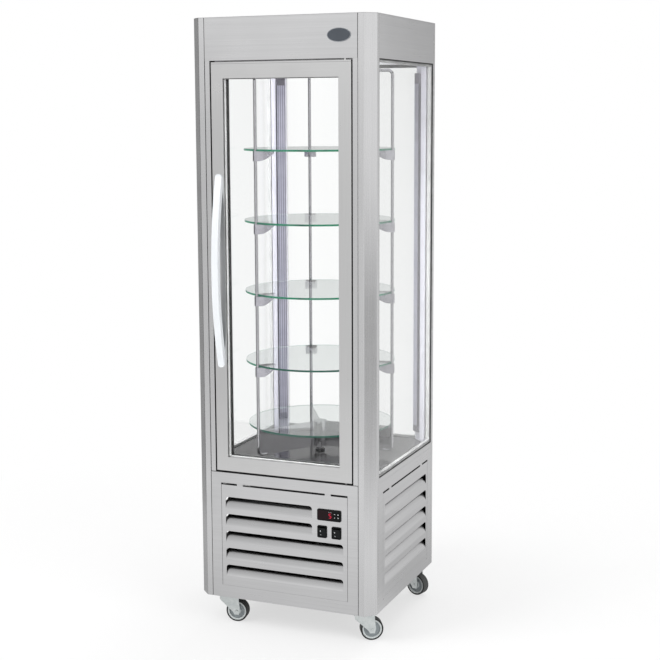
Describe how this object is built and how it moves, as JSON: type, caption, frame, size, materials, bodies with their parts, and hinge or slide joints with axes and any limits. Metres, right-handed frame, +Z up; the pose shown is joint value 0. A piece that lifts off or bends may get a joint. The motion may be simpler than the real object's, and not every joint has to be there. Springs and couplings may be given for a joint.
{
  "type": "display cabinet",
  "caption": "Upright refrigerated display cabinet with glass on four sides, a bow-handled door, a turning carousel of round glass shelves, a louvred base and swivel castors.",
  "frame": {"origin": "on the floor, under the axis that the carousel turns about", "axes": "+Z up along the carousel axis, -Y out through the door, +X to the right as seen from the front"},
  "size_m": [0.6029, 0.6503, 1.924],
  "materials": {
    "stainless_panel": "fine horizontal brush",
    "post_aluminium": "satin anodised",
    "liner": "polished sheet",
    "ceiling_panel": "satin white",
    "door_metal": "fine horizontal brush",
    "seal_frame_metal": "satin",
    "handle_metal": "satin anodised",
    "pin_steel": "turned",
    "glass": "clear",
    "shelf_glass": "clear with a polished edge",
    "spacer_bar": "mill finish",
    "seal_rubber": "matt",
    "chrome_wire": "bright plated",
    "bracket_plastic": "satin grey",
    "opal_plastic": "opal",
    "badge_plastic": "satin",
    "control_plastic": "fine grained",
    "key_plastic": "satin",
    "rocker_plastic": "satin",
    "castor_zinc": "zinc plated sheet",
    "hub_plastic": "satin grey",
    "tyre_rubber": "matt",
    "machine_paint": "semi-gloss black"
  },
  "bodies": {
    "cabinet": {"base_panel_front": "stainless_panel", "base_side_panels": "stainless_panel", "castor_heads": "castor_zinc", "chamber_ceiling": "ceiling_panel", "chamber_floor": "liner", "chassis_tray": "stainless_panel", "controller": "control_plastic", "cooling_unit": "machine_paint", "cord_gland": "control_plastic", "corner_post_front_left": "post_aluminium", "corner_post_front_right": "post_aluminium", "corner_post_rear_left": "post_aluminium", "corner_post_rear_right": "post_aluminium", "door_pivots": "pin_steel", "door_seal_frame": "seal_frame_metal", "drive_motor": "machine_paint", "fixed_glass_left": "glass", "fixed_glass_rear": "glass", "fixed_glass_right": "glass", "glass_spacers": "spacer_bar", "glazing_seals": "seal_rubber", "header_badge": "badge_plastic", "header_panels": "stainless_panel", "light_strips": "opal_plastic", "louvre_panel_front": "stainless_panel", "louvre_side_panels": "stainless_panel", "sill_rails": "seal_frame_metal", "switch_housings": "control_plastic", "top_cover": "stainless_panel"},
    "door": {"door_frame": "door_metal", "door_glass": "glass", "door_spacer": "spacer_bar", "door_gasket": "seal_rubber", "door_handle": "handle_metal"},
    "carousel": {"carousel_frame": "chrome_wire", "shelf_brackets": "bracket_plastic", "shelf_disc_1": "shelf_glass", "shelf_disc_2": "shelf_glass", "shelf_disc_3": "shelf_glass", "shelf_disc_4": "shelf_glass", "shelf_disc_5": "shelf_glass"},
    "castor_front_left": {"castor_fork_front_left": "castor_zinc"},
    "wheel_front_left": {"castor_hub_front_left": "hub_plastic", "castor_tyre_front_left": "tyre_rubber"},
    "castor_front_right": {"castor_fork_front_right": "castor_zinc"},
    "wheel_front_right": {"castor_hub_front_right": "hub_plastic", "castor_tyre_front_right": "tyre_rubber"},
    "castor_rear_left": {"castor_fork_rear_left": "castor_zinc"},
    "wheel_rear_left": {"castor_hub_rear_left": "hub_plastic", "castor_tyre_rear_left": "tyre_rubber"},
    "castor_rear_right": {"castor_fork_rear_right": "castor_zinc"},
    "wheel_rear_right": {"castor_hub_rear_right": "hub_plastic", "castor_tyre_rear_right": "tyre_rubber"},
    "rocker_left": {"rocker_left": "rocker_plastic"},
    "rocker_right": {"rocker_right": "rocker_plastic"},
    "key_1": {"controller_key_1": "key_plastic"},
    "key_2": {"controller_key_2": "key_plastic"},
    "key_3": {"controller_key_3": "key_plastic"},
    "key_4": {"controller_key_4": "key_plastic"}
  },
  "joints": [
    {"name": "door_swing", "type": "hinge", "parent": "cabinet", "child": "door", "pos_m": [0.207, -0.288, 1.1536], "axis": [0, 0, 1], "range_deg": [0, 115]},
    {"name": "carousel_spin", "type": "hinge", "parent": "cabinet", "child": "carousel", "pos_m": [0, 0, 0.536], "axis": [0, 0, 1], "continuous": true},
    {"name": "swivel_front_left", "type": "hinge", "parent": "cabinet", "child": "castor_front_left", "pos_m": [-0.232, -0.232, 0.086], "axis": [0, 0, 1], "continuous": true},
    {"name": "roll_front_left", "type": "hinge", "parent": "castor_front_left", "child": "wheel_front_left", "pos_m": [-0.19852, -0.2261, 0.036], "axis": [-0.1736, 0.9848, 0], "continuous": true},
    {"name": "swivel_front_right", "type": "hinge", "parent": "cabinet", "child": "castor_front_right", "pos_m": [0.232, -0.232, 0.086], "axis": [0, 0, 1], "continuous": true},
    {"name": "roll_front_right", "type": "hinge", "parent": "castor_front_right", "child": "wheel_front_right", "pos_m": [0.26144, -0.215, 0.036], "axis": [-0.5, 0.866, 0], "continuous": true},
    {"name": "swivel_rear_left", "type": "hinge", "parent": "cabinet", "child": "castor_rear_left", "pos_m": [-0.232, 0.232, 0.086], "axis": [0, 0, 1], "continuous": true},
    {"name": "roll_rear_left", "type": "hinge", "parent": "castor_rear_left", "child": "wheel_rear_left", "pos_m": [-0.25604, 0.20796, 0.036], "axis": [0.7071, -0.7071, 0], "continuous": true},
    {"name": "swivel_rear_right", "type": "hinge", "parent": "cabinet", "child": "castor_rear_right", "pos_m": [0.232, 0.232, 0.086], "axis": [0, 0, 1], "continuous": true},
    {"name": "roll_rear_right", "type": "hinge", "parent": "castor_rear_right", "child": "wheel_rear_right", "pos_m": [0.26484, 0.2232, 0.036], "axis": [0.2588, 0.9659, 0], "continuous": true},
    {"name": "rocker_left_tip", "type": "hinge", "parent": "cabinet", "child": "rocker_left", "pos_m": [0.13125, -0.297, 0.35725], "axis": [1, 0, 0], "range_deg": [-18, 0]},
    {"name": "rocker_right_tip", "type": "hinge", "parent": "cabinet", "child": "rocker_right", "pos_m": [0.17875, -0.297, 0.35725], "axis": [1, 0, 0], "range_deg": [-18, 0]},
    {"name": "key_1_press", "type": "slide", "parent": "cabinet", "child": "key_1", "axis": [0, 1, 0], "range_m": [0, 0.0005], "stiffness_N_per_m": 400, "springref_m": -0.0004},
    {"name": "key_2_press", "type": "slide", "parent": "cabinet", "child": "key_2", "axis": [0, 1, 0], "range_m": [0, 0.0005], "stiffness_N_per_m": 400, "springref_m": -0.0004},
    {"name": "key_3_press", "type": "slide", "parent": "cabinet", "child": "key_3", "axis": [0, 1, 0], "range_m": [0, 0.0005], "stiffness_N_per_m": 400, "springref_m": -0.0004},
    {"name": "key_4_press", "type": "slide", "parent": "cabinet", "child": "key_4", "axis": [0, 1, 0], "range_m": [0, 0.0005], "stiffness_N_per_m": 400, "springref_m": -0.0004}
  ]
}
